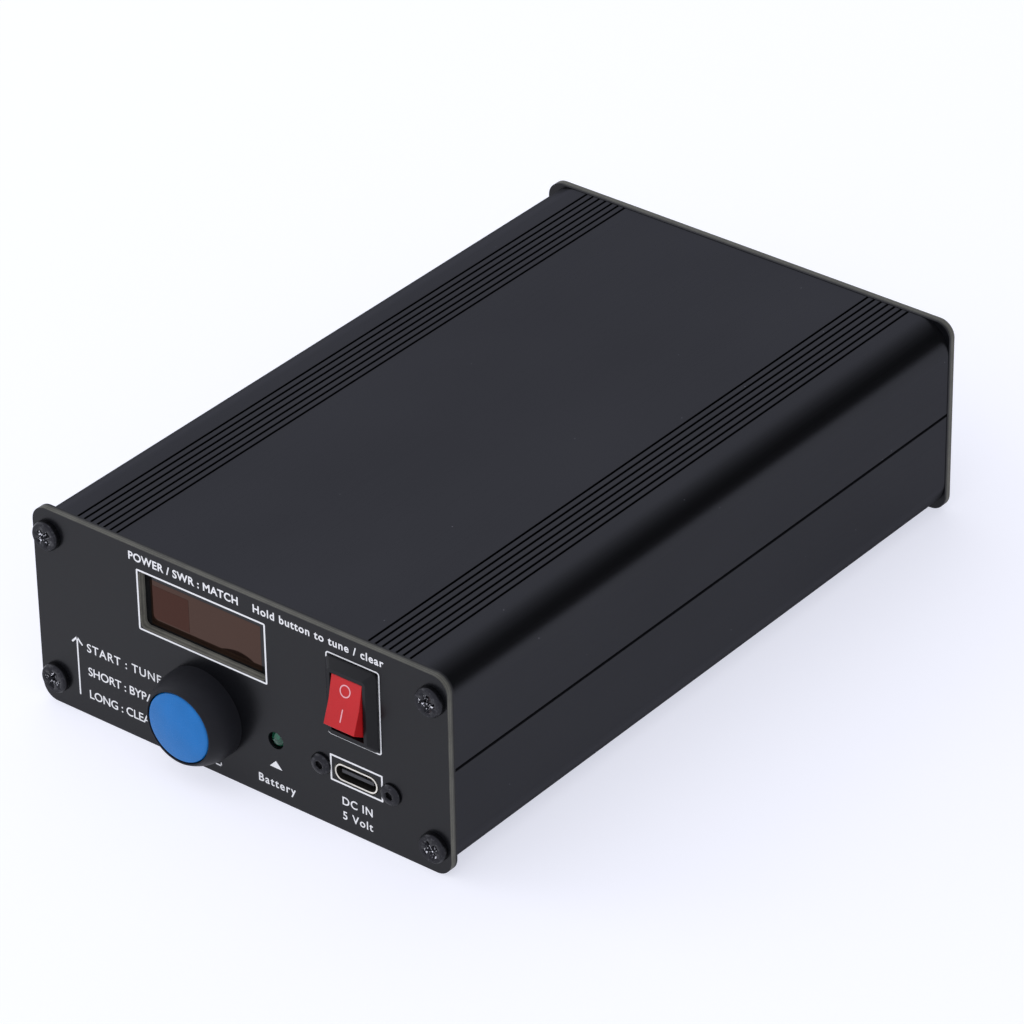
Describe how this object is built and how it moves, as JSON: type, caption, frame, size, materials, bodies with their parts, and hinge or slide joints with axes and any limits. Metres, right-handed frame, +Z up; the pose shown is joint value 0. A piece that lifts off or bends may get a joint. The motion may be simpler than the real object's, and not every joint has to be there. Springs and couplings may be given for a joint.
{
  "type": "antenna tuner",
  "caption": "Desktop automatic antenna tuner: split black extruded case, display window, push button to tune, power rocker, USB-C charge port, BNC sockets at the rear.",
  "frame": {"origin": "on the surface that the case rests on, under the middle of the case's width and depth", "axes": "+X to the right seen from the front, +Y from the front panel to the rear panel, +Z up"},
  "size_m": [0.088, 0.1597, 0.038],
  "materials": {
    "case_black": "satin black anodised extrusion",
    "panel_black": "black solder mask over fibreglass board, bare at the edges",
    "screw_black": "black zinc",
    "display_glass": "clear glass over a dark brown display",
    "board_blue": "blue solder mask",
    "board_green": "green solder mask",
    "foam_white": "white foam tape",
    "plastic_black": "moulded, matt",
    "plastic_grey": "moulded, matt",
    "plastic_white": "moulded, matt",
    "button_black": "moulded, satin",
    "button_blue": "moulded, half gloss",
    "switch_black": "moulded nylon, half gloss",
    "rocker_red": "moulded, half gloss",
    "contact_gold": "gold plated",
    "tinned_brass": "tinned",
    "steel_plated": "bright zinc",
    "copper": "enamelled copper",
    "usb_shell": "nickel plated",
    "led_green": "tinted clear epoxy",
    "nickel": "nickel plated brass",
    "relay_white": "moulded, matt",
    "core_red": "painted iron powder",
    "capacitor_tan": "fired",
    "ferrite": "bare ferrite",
    "chip_black": "moulded, matt",
    "cell_blue": "shrink film over a metal can",
    "wire_red": "PVC insulation",
    "wire_black": "PVC insulation",
    "ribbon_grey": "PVC insulation",
    "coax_tan": "tinted FEP jacket"
  },
  "bodies": {
    "case": {"upper_shell": "case_black", "lower_shell": "case_black", "front_panel": "panel_black", "rear_panel": "panel_black", "front_panel_screws": "screw_black", "rear_panel_screws": "screw_black", "display_glass": "display_glass", "display_board": "board_blue", "display_tape": "foam_white", "display_header": "plastic_black", "display_pins": "contact_gold", "button_housing": "button_black", "button_washer": "steel_plated", "button_nut": "plastic_black", "button_spring": "steel_plated", "button_terminals": "tinned_brass", "switch_housing": "switch_black", "switch_terminals": "tinned_brass", "usb_shell": "usb_shell", "usb_tongue": "plastic_grey", "usb_flange": "plastic_black", "usb_board": "board_green", "usb_screws": "screw_black", "charge_led": "led_green", "charge_led_leads": "tinned_brass", "bnc_bodies": "nickel", "bnc_insulators": "plastic_white", "bnc_contacts": "contact_gold", "bnc_solder_tags": "tinned_brass", "bnc_nuts": "nickel", "control_jack": "plastic_black", "control_jack_nut": "nickel", "main_board": "board_green", "tuning_relays": "relay_white", "toroid_cores": "core_red", "toroid_windings": "copper", "air_coils": "copper", "tuning_capacitors": "capacitor_tan", "coupler_core": "ferrite", "coupler_windings": "copper", "controller_chip": "chip_black", "driver_chips": "chip_black", "battery_cell": "cell_blue", "battery_holder": "plastic_black", "battery_contacts": "steel_plated", "wire_plugs": "plastic_white", "button_wires": "wire_red", "switch_wires": "wire_red", "usb_wires": "wire_black", "display_cable": "ribbon_grey", "coax_links": "coax_tan"},
    "tune_button": {"button_cap": "button_blue", "button_plunger": "plastic_white", "button_contact": "copper"},
    "power_rocker": {"power_rocker": "rocker_red", "rocker_plunger": "steel_plated"},
    "switch_contact": {"switch_contact": "copper"}
  },
  "joints": [
    {"name": "tune_button_press", "type": "slide", "parent": "case", "child": "tune_button", "axis": [0, 1, 0], "range_m": [0, 0.0015], "stiffness_N_per_m": 600, "springref_m": -0.003},
    {"name": "power_rocker_tilt", "type": "hinge", "parent": "case", "child": "power_rocker", "pos_m": [0.0246, -0.069, 0.0261], "axis": [1, 0, 0], "range_deg": [0, 32]},
    {"name": "switch_contact_tip", "type": "hinge", "parent": "case", "child": "switch_contact", "pos_m": [0.0246, -0.0631, 0.0261], "axis": [1, 0, 0], "range_deg": [-16, 0]}
  ],
  "couplings": [
    {"joint": "switch_contact_tip", "follows": "power_rocker_tilt", "ratio": -0.5}
  ]
}
